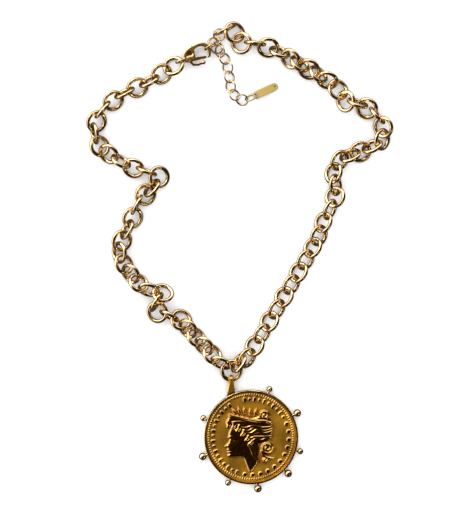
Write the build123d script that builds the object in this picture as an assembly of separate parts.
from build123d import *
import math
import os
import numpy as np

# A coin necklace that lies on a table. All lengths are in millimetres and all angles in degrees.
# +Z is up and +Y runs from the pendant to the clasp. The origin is under the middle of the whole
# necklace, at the height of the table.

# Main chain, round links
LINK_OUTER = 8.4
LINK_WIRE = 1.4
LINK_LIFT = 2.1

# Thin ring at the end of the right strand, and the small links of the extender
END_RING_OUTER = 9.0
END_RING_WIRE = 0.9
SMALL_OUTER = 4.85
SMALL_WIRE = 0.55
SMALL_LIFT = 0.88

# Clasp, seen along its flat side: its long way runs from the eye to the hook
CLASP_LENGTH = 10.8
CLASP_THICK = 2.4
CLASP_TURN = 20.0
CLASP_HEIGHT = 2.5
EYE_OUTER = 4.4
EYE_WIRE = 1.0
EYE_SINK = 0.15
EYE_SLACK = 0.2
EYE_LINK_TURN = 35.0
HOOK_THICK = 1.8
HOOK_SLACK = 0.25
CLASP_ROUND = 0.3
CLASP_CORNER = 0.2
LEVER_THICK = 1.1
LEVER_ARM_WIDE = 0.95
LEVER_ROOT = 1.5
LEVER_TRAVEL = 22.0
LEVER_OVERTRAVEL = 2.0
THUMB_WIDE = 0.9
THUMB_KNOB = 1.5
PIN_WIDE = 0.9
PIN_PROUD = 0.12
RECESS_DEPTH = 0.35

# Tag
TAG_LENGTH = 10.3
TAG_WIDE = 2.8
TAG_THICK = 0.8
TAG_END_HOLE = 0.9
TAG_RIM = 0.55
TAG_ROUND = 0.2
TAG_TURN = 25.6

# Pendant
BEZEL_OUTER = 34.9
BEZEL_LIP = 0.5
BEZEL_THICK = 2.8
BEZEL_BACK = 0.5
BEZEL_GROOVE = 0.2
BEZEL_ROUND = 0.2
COIN_SHOULDER = 1.8
COIN_FACE = 2.1
RELIEF_HEIGHT = 0.9
RELIEF_SUNK = 0.1
BORDER_FROM_EDGE = 1.05
BORDER_WIRE = 0.9
MARKS_FROM_EDGE = 2.75
MARK_LONG = 1.3
MARK_WIDE = 0.6
MARK_HEIGHT = 0.35
FACE_HEIGHT = 11.2
STUD_LARGE = 2.8
STUD_SMALL = 2.2
STUD_STEM = 0.5
STEM_WIDE = 1.0
BAIL_STRIP = 0.7
BAIL_REACH = 5.4
BAIL_TOP_WIDE = 1.2
BAIL_FOOT_WIDE = 3.3
BAIL_FOOT_HIGH = 2.2
BAIL_FOOT_THICK = 1.0
BAIL_ROUND = 0.2
BAIL_CROWN = 1.8
BAIL_ANGLE = 115.0

# Clearances
LINK_GAP = 0.2
LEVER_GAP = 0.15
PIN_GAP = 0.03
COIN_GAP = 0.1
BAIL_GAP = 0.42
TAG_HOLE_GAP = 0.5

# Routes of the two strands. Each row is a link's x and y, its lean, its swing out of the chain's
# line, and the number of links to the next row. The places are right for links with the opening
# below, and move apart with it.
ROUTE_OPENING = 5.6
LEFT_ROUTE = [
    (-24.3, 71.0, 39, 0, 2),
    (-33.2, 65.2, 65, 0, 3),
    (-46.4, 58.4, 65, 0, 2),
    (-53.4, 50.2, 60, 0, 2),
    (-51.6, 41.2, 60, 0, 1),
    (-48.3, 38.4, 40, 0, 2),
    (-39.2, 33.1, 20, 0, 1),
    (-34.3, 32.0, 25, 0, 1),
    (-29.4, 29.8, 0, 0, 1),
    (-32.2, 25.7, -30, 0, 1),
    (-34.4, 23.4, -20, 0, 1),
    (-38.0, 19.8, -35, 0, 1),
    (-39.4, 14.4, -20, 0, 3),
    (-44.3, 1.8, -40, 0, 3),
    (-37.2, -9.4, -45, 0, 1),
    (-33.5, -11.9, -40, 0, 1),
    (-28.2, -13.2, -35, 80, 1),
    (-30.5, -16.4, -20, 0, 1),
    (-30.3, -20.2, -10, 0, 1),
    (-25.7, -21.6, -28, 0, 1),
    (-21.5, -23.1, -25, 0, 1),
    (-18.9, -26.3, -45, 0, 4),
    (-6.9, -38.9, -41, 0, 1),
    (-2.9, -41.9, -21, -82, 0),
]
RIGHT_ROUTE = [
    (0.0, -39.0, -52, 35, 1),
    (3.0, -37.2, -38, 3, 9),
    (27.2, 3.7, -45, 0, 2),
    (31.0, 12.9, -45, 0, 2),
    (35.7, 22.6, -28, 0, 2),
    (34.9, 31.2, -45, 0, 1),
    (37.2, 36.0, -45, 0, 2),
    (44.9, 39.2, -65, 0, 2),
    (52.9, 43.5, -50, 0, 1),
    (53.6, 48.3, -30, 0, 2),
    (47.4, 55.7, -15, 0, 2),
    (39.4, 57.9, -40, -45, 1),
    (36.6, 62.2, -62, 0, 1),
    (32.5, 65.7, -50, 0, 2),
    (25.7, 69.7, -30, 0, 2),
    (18.9, 73.6, -45, 0, 2),
    (11.0, 77.8, -20, 0, 1),
    (5.6, 79.3, -20, 0, 1),
    (0.4, 79.5, -25, -65, 1),
    (-1.87, 83.4, -70, 0, 0),
]

# The thin ring and the small links: x, y, lift off the table, heading and roll of each. The third
# small link hangs on the clasp's hook.
END_RING_ROW = (-5.3, 84.01, 0.55, 32, 87)
SMALL_OPENING = 3.75
HOOKED_INDEX = 2
EXTENDER_ROUTE = [
    (-7.54, 82.97, 0.97, -163, -19),
    (-9.58, 80.34, 0.53, -147, 26),
    (-10.93, 78.13, 0.1, 30, 86),
    (-8.44, 77.94, 0.39, -54, -12),
    (-7.3, 76.5, 0.0, -60, 45),
    (-5.6, 73.8, 0.0, -60, -35),
    (-4.4, 70.6, 0.0, -75, 35),
    (-3.8, 67.0, 0.0, -80, -35),
    (-3.35, 63.4, 0.0, -75, 35),
    (-2.0, 60.2, 0.0, -50, -35),
    (1.04, 58.5, 0.0, 0, 30),
    (4.3, 59.3, 0.0, 25, -60),
]

# Clasp outlines from the eye's end, as shares of the clasp's length: along it and across it.
CLASP_OUTSIDE = [
    (0.03, -0.11),
    (0.015, 0.03),
    (0.11, 0.22),
    (0.31, 0.32),
    (0.56, 0.365),
    (0.82, 0.345),
    (0.98, 0.2),
    (1.0, 0.0),
    (0.955, -0.14),
    (0.885, -0.22),
]
CLASP_INSIDE = [
    (0.79, -0.215),
    (0.835, -0.13),
    (0.866, -0.02),
    (0.862, 0.1),
    (0.78, 0.215),
    (0.62, 0.25),
    (0.46, 0.2),
]
CLASP_BAR_FOOT = (0.43, -0.075)
CLASP_RECESS = [(0.11, 0.045), (0.22, 0.15), (0.38, 0.09), (0.34, 0.02)]
CLASP_PIVOT = (0.157, -0.065)
CLASP_HOOK_REST = (0.862, 0.115)

# Middle of the lever's arm end, and its thumb branch from the pivot, in the same shares.
LEVER_ARM_END = (0.744, -0.1633)
LEVER_THUMB = [(0.27, -0.27), (0.42, -0.325), (0.62, -0.315)]

# Ball studs round the bezel: angle and whether it is a large one.
STUDS = [
    (68.9, False),
    (27.3, True),
    (-16.3, False),
    (-44.5, True),
    (-82.4, True),
    (-116.7, False),
    (-158.0, True),
    (158.5, False),
]

# Head relief on the coin, facing -X. Its places are shares of the face's height from hairline to chin,
# across and up from the foot of the face's front line.
FACE_AT = (-8.7, -7.6)
FACE_FRONT = [
    (0.1, 1.0),
    (0.035, 0.85),
    (0.0, 0.667),
    (0.045, 0.6),
    (-0.12, 0.37),
    (-0.02, 0.333),
    (-0.045, 0.255),
    (-0.01, 0.222),
    (-0.035, 0.185),
    (0.012, 0.135),
    (-0.02, 0.06),
    (0.05, 0.0),
]
NECK = [
    (0.3, 0.03),
    (0.5, 0.0),
    (0.63, -0.26),
    (0.73, -0.5),
    (0.9, -0.36),
    (1.0, -0.16),
    (1.0, 0.5),
    (0.4, 0.95),
]
HAIR = [
    (-0.02, 1.01),
    (-0.06, 1.21),
    (0.12, 1.44),
    (0.46, 1.4),
    (0.78, 1.32),
    (1.1, 1.4),
    (1.4, 1.32),
    (1.49, 1.1),
    (1.48, 0.86),
    (1.42, 0.59),
    (1.1, 0.46),
    (0.71, 0.4),
    (0.41, 0.8),
]
# Knots of hair: across, up and radius. Leaves of the crown: across and up to the middle, and turn.
KNOTS = [(1.23, 1.4, 0.2), (1.31, 0.33, 0.24), (1.24, -0.07, 0.11)]
LEAVES = [(0.2, 1.54, 125), (0.38, 1.56, 108), (0.56, 1.55, 97), (0.74, 1.5, 86), (0.92, 1.5, 74)]
LEAF_SIZE = (0.27, 0.11)
LOCK = [(0.72, 0.39), (0.85, 0.18), (0.94, 0.0), (1.02, -0.12)]
LOCK_WIDE = 0.13

# Marks round the coin: first angle, last angle, number, and whether bars stand between the pellets.
MARK_ARCS = [(124.0, 248.0, 17, True), (100.0, 32.0, 10, True), (20.4, -99.6, 11, False)]

# How the rings are laid: points tried round each ring, turns of the rule, and how strongly it acts
RING_POINTS = 24
SETTLE_TURNS = 300
PUSH_SHARE = 0.6
SLIDE_SHARE = 0.7
HOME_SHARE = 0.02
SINK_STEP = 0.02
NEAR_COUNT = 4
FINE_COUNT = 40


class Ring:
    """One round link: its middle, two directions in its plane, radius, wire, and if it is held."""

    def __init__(self, at, heading, roll, outer, wire, held=False):
        turn = math.radians(heading)
        lean = math.radians(roll)
        left = np.array([-math.sin(turn), math.cos(turn), 0.0])
        self.at = np.array(at, float)
        self.ahead = np.array([math.cos(turn), math.sin(turn), 0.0])
        self.side = left * math.cos(lean) + np.array([0.0, 0.0, math.sin(lean)])
        self.radius = (outer - wire) / 2
        self.wire = wire
        self.held = held

    def solid(self):
        across = np.cross(self.ahead, self.side)
        place = Plane(origin=tuple(self.at), x_dir=tuple(self.ahead), z_dir=tuple(across))
        return place.location * Torus(self.radius, self.wire / 2)


def curve(before, start, end, after, share):
    """Point on a smooth curve from start to end, bent by the points before and after."""
    square = share * share
    cube = square * share
    bend = (2 * before - 5 * start + 4 * end - after) * square
    twist = (3 * start - before - 3 * end + after) * cube
    return 0.5 * (2 * start + (end - before) * share + bend + twist)


def stations(rows):
    """Places of a strand's links: x, y, lean and swing, evenly spaced between the route's rows."""
    points = [np.array(row[:3], float) for row in rows]
    shares = np.linspace(0, 1, FINE_COUNT + 1)
    found = []
    for index, row in enumerate(rows[:-1]):
        before = points[max(index - 1, 0)]
        after = points[min(index + 2, len(points) - 1)]
        fine = np.array([curve(before, points[index], points[index + 1], after, share) for share in shares])
        run = np.concatenate([[0], np.cumsum(np.hypot(np.diff(fine[:, 0]), np.diff(fine[:, 1])))])
        for step in range(row[4]):
            reach = run[-1] * step / row[4]
            spot = [np.interp(reach, run, fine[:, column]) for column in range(3)]
            found.append(spot + [row[3] if step == 0 else 0])
    found.append(list(rows[-1][:4]))
    return found


def leaning_height(outer, wire, roll):
    """Height of a ring's middle when its lowest wire touches the table."""
    return (outer - wire) / 2 * abs(math.sin(math.radians(roll))) + wire / 2


def strand(rows, place):
    """Start rings of one strand, each a quarter turn about the chain's line from the last."""
    spots = stations(rows)
    rings = []
    for index, (x, y, lean, swing) in enumerate(spots):
        back = spots[max(index - 1, 0)]
        front = spots[min(index + 1, len(spots) - 1)]
        heading = math.degrees(math.atan2(front[1] - back[1], front[0] - back[0])) + swing
        roll = lean + 90 * (index % 2)
        height = max(leaning_height(LINK_OUTER, LINK_WIRE, roll), LINK_LIFT)
        at = place(x, y, index / (len(spots) - 1))
        rings.append(Ring((at[0], at[1], height), heading, roll, LINK_OUTER, LINK_WIRE))
    return rings


def nearest_faults(first, second, points, at, ahead, side, radius, wire):
    """For each pair, the spot of the first ring that is too close to the second, and the lack there."""
    reach = radius[first][:, None, None]
    spots = at[first][:, None] + reach * (
        np.cos(points) * ahead[first][:, None] + np.sin(points) * side[first][:, None])
    across = np.cross(ahead[second], side[second])[:, None]
    arm = spots - at[second][:, None]
    flat = arm - (arm * across).sum(-1, keepdims=True) * across
    length = np.linalg.norm(flat, axis=-1, keepdims=True) + 1e-9
    feet = at[second][:, None] + flat * radius[second][:, None, None] / length
    away = spots - feet
    far = np.linalg.norm(away, axis=-1) + 1e-9
    lack = ((wire[first] + wire[second]) / 2 + LINK_GAP)[:, None] - far
    worst = lack.argmax(1)
    row = np.arange(len(first))
    deep = np.clip(lack[row, worst], 0, None)
    push = away[row, worst] / far[row, worst][:, None] * (deep * PUSH_SHARE / 2)[:, None]
    return spots[row, worst], feet[row, worst], push


def settle(rings):
    """Lays the rings: each pushes its neighbours off, sinks to the table and keeps near its start."""
    at = np.array([ring.at for ring in rings])
    home = at.copy()
    ahead = np.array([ring.ahead for ring in rings])
    side = np.array([ring.side for ring in rings])
    radius = np.array([ring.radius for ring in rings])
    wire = np.array([ring.wire for ring in rings])
    free = np.array([0.0 if ring.held else 1.0 for ring in rings])
    points = np.linspace(0, 2 * np.pi, RING_POINTS, endpoint=False)[:, None]
    for turn in range(SETTLE_TURNS):
        for step in range(1, NEAR_COUNT + 1):
            lower = np.arange(len(rings) - step)
            upper = lower + step
            for first, second in ((lower, upper), (upper, lower)):
                spots, feet, push = nearest_faults(first, second, points, at, ahead, side, radius, wire)
                for ring, spot, move in ((first, spots, push), (second, feet, -push)):
                    move = move * free[ring][:, None]
                    spin = np.cross(spot - at[ring], move) / (radius[ring] ** 2)[:, None]
                    at[ring] += move * SLIDE_SHARE
                    ahead[ring] += np.cross(spin, ahead[ring])
                    side[ring] += np.cross(spin, side[ring])
                ahead /= np.linalg.norm(ahead, axis=1, keepdims=True)
                side -= ahead * (ahead * side).sum(1, keepdims=True)
                side /= np.linalg.norm(side, axis=1, keepdims=True)
        at[:, :2] += (home - at)[:, :2] * HOME_SHARE * free[:, None]
        lowest = at[:, 2] - radius * np.hypot(ahead[:, 2], side[:, 2]) - wire / 2
        at[:, 2] -= np.minimum(lowest, SINK_STEP) * free
    for index, ring in enumerate(rings):
        ring.at = at[index]
        ring.ahead = ahead[index]
        ring.side = side[index]


def turned(x, y, turn):
    """The direction x, y turned about +Z."""
    angle = math.radians(turn)
    return np.array([x * math.cos(angle) - y * math.sin(angle), x * math.sin(angle) + y * math.cos(angle)])


def lay_chains():
    """All rings where they come to lie, the clasp's place, and the middle of the bail's round end."""
    spread = (LINK_OUTER - 2 * LINK_WIRE) / ROUTE_OPENING
    left = strand(LEFT_ROUTE, lambda x, y, share: (x * spread, y * spread))
    first = left[0]

    eye_at = first.at[:2] + turned(first.radius - EYE_SLACK, 0, EYE_LINK_TURN)
    eye = Ring((*eye_at, CLASP_HEIGHT), CLASP_TURN, 90, EYE_OUTER, EYE_WIRE, held=True)
    clasp_at = eye_at + turned(EYE_OUTER / 2 - EYE_WIRE - EYE_SINK, 0, CLASP_TURN)

    rest = np.array(CLASP_HOOK_REST) * CLASP_LENGTH
    ring_reach = SMALL_OUTER / 2 - SMALL_WIRE - HOOK_SLACK
    hooked_at = clasp_at + turned(rest[0] + ring_reach, rest[1], CLASP_TURN)
    small_spread = (SMALL_OUTER - 2 * SMALL_WIRE) / SMALL_OPENING
    hooked_row = EXTENDER_ROUTE[HOOKED_INDEX]
    small = []
    for index, (x, y, lift, heading, roll) in enumerate(EXTENDER_ROUTE):
        held = index == HOOKED_INDEX
        offset = np.array([x - hooked_row[0], y - hooked_row[1]]) * small_spread
        height = max(leaning_height(SMALL_OUTER, SMALL_WIRE, roll) + lift, SMALL_LIFT)
        spot = hooked_at + offset
        small.append(Ring((*spot, height), heading, roll, SMALL_OUTER, SMALL_WIRE, held))

    x, y, lift, heading, roll = END_RING_ROW
    first_row = EXTENDER_ROUTE[0]
    thin_at = small[0].at[:2] + np.array([x - first_row[0], y - first_row[1]])
    thin_height = leaning_height(END_RING_OUTER, END_RING_WIRE, roll) + lift
    thin = Ring((*thin_at, thin_height), heading, roll, END_RING_OUTER, END_RING_WIRE)

    last_row = RIGHT_ROUTE[-1]
    last_at = thin_at + np.array([last_row[0] - x, last_row[1] - y])
    shift = last_at - np.array(last_row[:2]) * spread
    right = strand(RIGHT_ROUTE, lambda x, y, share: np.array([x, y]) * spread + shift * share)

    hung = left[-1]
    bail_radius = LINK_WIRE / 2 + BAIL_GAP + BAIL_STRIP
    hang = (hung.at[0], hung.at[1] - hung.radius, bail_radius)
    bail_end = Ring(hang, 90, 90, 2 * bail_radius - BAIL_STRIP + BAIL_TOP_WIDE, BAIL_TOP_WIDE, held=True)

    settle([eye] + left + [bail_end] + right + [thin] + small)
    return left, right, thin, small, clasp_at, hang


def rounded_bar(start, start_radius, end, end_radius):
    """Flat outline of two circles and the straight sides that join them."""
    first = Pos(*start) * Circle(start_radius)
    last = Pos(*end) * Circle(end_radius)
    return make_hull(first.edges() + last.edges())


def slab(face, height):
    """The face raised by half of the height to both sides."""
    return extrude(face, height / 2, both=True)


def on_clasp(share):
    """A place on the clasp from its shares of the clasp's length."""
    return (share[0] * CLASP_LENGTH, share[1] * CLASP_LENGTH)


def lever_turn():
    """Direction of the closed lever's arm, from the pivot to the arm's end."""
    across = LEVER_ARM_END[0] - CLASP_PIVOT[0]
    up = LEVER_ARM_END[1] - CLASP_PIVOT[1]
    return math.degrees(math.atan2(up, across))


def clasp_body():
    """Hook, two cheeks with the lever's slot between them, and the eye for the chain."""
    outside = [on_clasp(share) for share in CLASP_OUTSIDE]
    inside = [on_clasp(share) for share in CLASP_INSIDE]
    foot = on_clasp(CLASP_BAR_FOOT)
    pivot = on_clasp(CLASP_PIVOT)
    rim = Wire([
        Spline(*outside),
        Line(outside[-1], inside[0]),
        Spline(*inside),
        Line(inside[-1], foot),
        Line(foot, outside[0]),
    ])
    outline = fillet(Face(rim).vertices(), CLASP_CORNER)
    hook = slab(outline, HOOK_THICK)
    hook = fillet(hook.edges().group_by(Axis.Z)[0] + hook.edges().group_by(Axis.Z)[-1], CLASP_ROUND)

    cheek_zone = Rectangle(2 * foot[0], CLASP_LENGTH)
    boss = Pos(*pivot) * Circle(LEVER_ROOT / 2 + LEVER_GAP)
    cheeks = slab(outline & cheek_zone, CLASP_THICK) + slab(boss, CLASP_THICK)
    eye_place = Pos(-(EYE_OUTER / 2 - EYE_WIRE - EYE_SINK), 0, 0) * Rot(90, 0, 0)
    eye = eye_place * Torus((EYE_OUTER - EYE_WIRE) / 2, EYE_WIRE / 2)
    body = hook + cheeks + eye

    slot_radius = LEVER_ROOT / 2 + LEVER_GAP
    slot_turn = lever_turn() + LEVER_TRAVEL + LEVER_OVERTRAVEL
    top = np.array(pivot) + turned(0, slot_radius, slot_turn)
    far = top + turned(CLASP_LENGTH / 2, 0, slot_turn)
    low = -CLASP_LENGTH / 2
    corner = Polyline(tuple(top), tuple(far), (far[0], low), (pivot[0] - slot_radius, low),
                      (pivot[0] - slot_radius, pivot[1]), pivot, close=True)
    slot = make_face(corner) + Pos(*pivot) * Circle(slot_radius)
    body -= slab(slot, LEVER_THICK + 2 * LEVER_GAP)

    recess = make_face(Polyline(*[on_clasp(share) for share in CLASP_RECESS], close=True))
    for face_height in (CLASP_THICK / 2, -CLASP_THICK / 2):
        body -= Pos(0, 0, face_height) * slab(recess, 2 * RECESS_DEPTH)
    body -= Pos(*pivot) * Cylinder(PIN_WIDE / 2 + PIN_GAP, 2 * CLASP_THICK)
    return body


def clasp_lever():
    """Gate arm, thumb branch and knob, with the pin's bore."""
    pivot = on_clasp(CLASP_PIVOT)
    arm_end = on_clasp(LEVER_ARM_END)
    lever = slab(rounded_bar(pivot, LEVER_ROOT / 2, arm_end, LEVER_ARM_WIDE / 2), LEVER_THICK)
    thumb = [pivot] + [on_clasp(share) for share in LEVER_THUMB]
    for start, end in zip(thumb, thumb[1:]):
        lever += slab(rounded_bar(start, THUMB_WIDE / 2, end, THUMB_WIDE / 2), LEVER_THICK)
    lever += Pos(*thumb[-1]) * Sphere(THUMB_KNOB / 2)
    return lever - Pos(*pivot) * Cylinder(PIN_WIDE / 2 + PIN_GAP, 2 * CLASP_THICK)


def clasp_pin():
    """The round pin that the lever turns on."""
    return Pos(*on_clasp(CLASP_PIVOT)) * Cylinder(PIN_WIDE / 2, CLASP_THICK + 2 * PIN_PROUD)


def tag(ring):
    """Plain bar with round ends: it hangs by a hole on the last small link and its far end lies down."""
    hole = SMALL_WIRE / 2 + TAG_HOLE_GAP
    hole_at = hole + TAG_RIM
    bar = slab(SlotOverall(TAG_LENGTH, TAG_WIDE), TAG_THICK)
    bar = fillet(bar.edges().group_by(Axis.Z)[0] + bar.edges().group_by(Axis.Z)[-1], TAG_ROUND)
    bar -= Pos(hole_at - TAG_LENGTH / 2, 0) * Cylinder(hole, 2 * TAG_THICK)
    bar -= Pos(TAG_LENGTH / 2 - hole_at, 0) * Cylinder(TAG_END_HOLE / 2, 2 * TAG_THICK)
    bar = Pos(TAG_LENGTH / 2 - hole_at, 0) * bar
    hang = ring.at + ring.radius * ring.ahead
    reach = TAG_LENGTH - hole_at
    pitch = math.asin(hang[2] / math.hypot(reach, TAG_THICK / 2)) - math.atan2(TAG_THICK / 2, reach)
    run = turned(1, 0, TAG_TURN)
    x_dir = (run[0] * math.cos(pitch), run[1] * math.cos(pitch), -math.sin(pitch))
    z_dir = (run[0] * math.sin(pitch), run[1] * math.sin(pitch), math.cos(pitch))
    return Plane(origin=tuple(hang), x_dir=x_dir, z_dir=z_dir).location * bar


def standing(radius, low, high):
    """A round block about +Z between two heights."""
    return Pos(0, 0, (low + high) / 2) * Cylinder(radius, high - low)


def bail(hang, middle):
    """Upright loop from the hung link's wire to the bezel, crowned, and wider at its foot."""
    wire_room = LINK_WIRE / 2 + BAIL_GAP
    foot_y = -BAIL_REACH - 2 * BEZEL_LIP
    mid_height = BEZEL_THICK / 2 - hang[2]
    outer_foot = Pos(foot_y, mid_height) * Rectangle(BEZEL_LIP, BAIL_FOOT_HIGH)
    outer = make_hull(Circle(wire_room + BAIL_STRIP).edges() + outer_foot.edges())
    inner_foot = Pos(BAIL_FOOT_THICK - BAIL_REACH, mid_height / 2) * Circle(wire_room / 2)
    inner = make_hull(Circle(wire_room).edges() + inner_foot.edges())
    side = Plane(origin=tuple(hang), x_dir=(0, 1, 0), z_dir=(1, 0, 0))
    loop = side.location * slab(outer - inner, 2 * BAIL_FOOT_WIDE)
    top = hang[1] + wire_room + BAIL_STRIP
    foot = hang[1] + foot_y
    half_top = BAIL_TOP_WIDE / 2
    half_foot = BAIL_FOOT_WIDE / 2
    corners = [(-half_top, top), (half_top, top), (half_foot, foot), (-half_foot, foot)]
    plan = make_face(Polyline(*[(hang[0] + across, along) for across, along in corners], close=True))
    loop = loop & slab(plan, 2 * LINK_OUTER)
    reach = top - foot
    tilt = math.degrees(math.atan2(mid_height, reach))
    crown = Rot(-90 - tilt, 0, 0) * Cone(BAIL_CROWN, wire_room + BAIL_STRIP, 1.2 * reach)
    crown = Pos(hang[0], (top + foot) / 2, hang[2] + mid_height / 2) * crown
    loop = fillet(loop.edges(), BAIL_ROUND) & crown
    return loop - Pos(*middle) * standing(BEZEL_OUTER / 2 - BEZEL_LIP / 2, 0, LINK_OUTER)


def pendant_middle(hang):
    """Middle of the pendant: its edge lies the bail's reach below the hung link's wire."""
    edge = turned(BEZEL_OUTER / 2, 0, BAIL_ANGLE)
    return (hang[0] - edge[0], hang[1] - BAIL_REACH - edge[1])


def bezel(hang, middle):
    """Round cup with a lip over the coin, ball studs on stems, and the bail."""
    radius = BEZEL_OUTER / 2
    cup = standing(radius, 0, BEZEL_THICK)
    cup = fillet(cup.edges(), BEZEL_ROUND)
    cup -= standing(radius - BEZEL_LIP + BEZEL_GROOVE, BEZEL_BACK, COIN_SHOULDER + COIN_GAP)
    cup -= standing(radius - BEZEL_LIP, COIN_SHOULDER, 2 * BEZEL_THICK)
    for angle, large in STUDS:
        ball = (STUD_LARGE if large else STUD_SMALL) / 2
        reach = radius + STUD_STEM + ball
        stem_from = radius - BEZEL_LIP / 2
        stem = Pos((stem_from + reach) / 2, 0) * Rot(0, 90, 0) * Cylinder(STEM_WIDE / 2, reach - stem_from)
        stud = Pos(0, 0, STUD_LARGE / 2) * (stem + Pos(reach, 0) * Sphere(ball))
        cup += Rot(0, 0, angle) * stud
    return Pos(*middle) * cup + bail(hang, middle)


def on_head(share):
    """A place on the coin from its shares of the face's height."""
    return (FACE_AT[0] + share[0] * FACE_HEIGHT, FACE_AT[1] + share[1] * FACE_HEIGHT)


def raised(face, share):
    """The face raised from just under the coin's field to a share of the relief's height."""
    return Pos(0, 0, COIN_FACE - RELIEF_SUNK) * extrude(face, RELIEF_SUNK + share * RELIEF_HEIGHT)


def head_relief():
    """A plain head in profile with gathered hair, a leaf crown and a lock along the neck."""
    outline = [on_head(share) for share in FACE_FRONT + NECK]
    relief = raised(make_face(Polyline(*outline, close=True)), 0.45)
    relief += raised(make_face(Spline(*[on_head(share) for share in HAIR], periodic=True)), 0.7)
    for across, up, radius in KNOTS:
        relief += raised(Pos(*on_head((across, up))) * Circle(radius * FACE_HEIGHT), 0.85)
    for across, up, turn in LEAVES:
        leaf = Rot(0, 0, turn) * Ellipse(LEAF_SIZE[0] / 2 * FACE_HEIGHT, LEAF_SIZE[1] / 2 * FACE_HEIGHT)
        relief += raised(Pos(*on_head((across, up))) * leaf, 1.0)
    lock = [on_head(share) for share in LOCK]
    half = LOCK_WIDE / 2 * FACE_HEIGHT
    for start, end in zip(lock, lock[1:]):
        relief += raised(rounded_bar(start, half, end, half), 0.6)
    return relief


def marks(radius):
    """Plain bars and pellets round the coin, inside its border."""
    solids = []
    for first, last, number, barred in MARK_ARCS:
        for index in range(number):
            angle = first + (last - first) * index / (number - 1)
            mark = Rectangle(MARK_LONG, MARK_WIDE) if barred and index % 2 == 0 else Circle(MARK_WIDE)
            face = Rot(0, 0, angle) * Pos(radius - MARKS_FROM_EDGE, 0) * mark
            solids.append(raised(face, MARK_HEIGHT / RELIEF_HEIGHT))
    return solids


def coin(middle):
    """Disc with a shoulder that the bezel's lip holds, a raised border and the relief."""
    radius = BEZEL_OUTER / 2 - BEZEL_LIP
    disc = standing(radius + BEZEL_GROOVE - COIN_GAP, BEZEL_BACK + COIN_GAP, COIN_SHOULDER)
    edge = radius - COIN_GAP
    disc += standing(edge, BEZEL_BACK + COIN_GAP, COIN_FACE)
    disc += Pos(0, 0, COIN_FACE) * Torus(edge - BORDER_FROM_EDGE, BORDER_WIRE / 2)
    disc += head_relief()
    disc += marks(edge)
    return Pos(*middle) * disc


def whole(rings):
    """The rings' solids together, loose."""
    return Compound([ring.solid() for ring in rings])


def main():
    """Lays the chains, hangs the rest on them, moves all over the origin and writes the pieces."""
    left, right, thin, small, clasp_at, hang = lay_chains()
    middle = pendant_middle(hang)
    clasp = Pos(*clasp_at, CLASP_HEIGHT) * Rot(0, 0, CLASP_TURN)
    pieces = {
        "chain_left": whole(left[:-1]),
        "chain_right": whole(right),
        "pendant_ring": left[-1].solid(),
        "extender_ring": thin.solid(),
        "extender_chain": whole(small),
        "clasp_body": clasp * clasp_body(),
        "clasp_lever": clasp * clasp_lever(),
        "clasp_pin": clasp * clasp_pin(),
        "tag": tag(small[-1]),
        "bezel": bezel(hang, middle),
        "coin": coin(middle),
    }
    box = Compound(list(pieces.values())).bounding_box()
    over_origin = Pos(-box.center().X, -box.center().Y, -box.min.Z)
    os.makedirs("parts", exist_ok=True)
    for name, solid in pieces.items():
        export_step(over_origin * solid, "parts/" + name + ".step")


main()
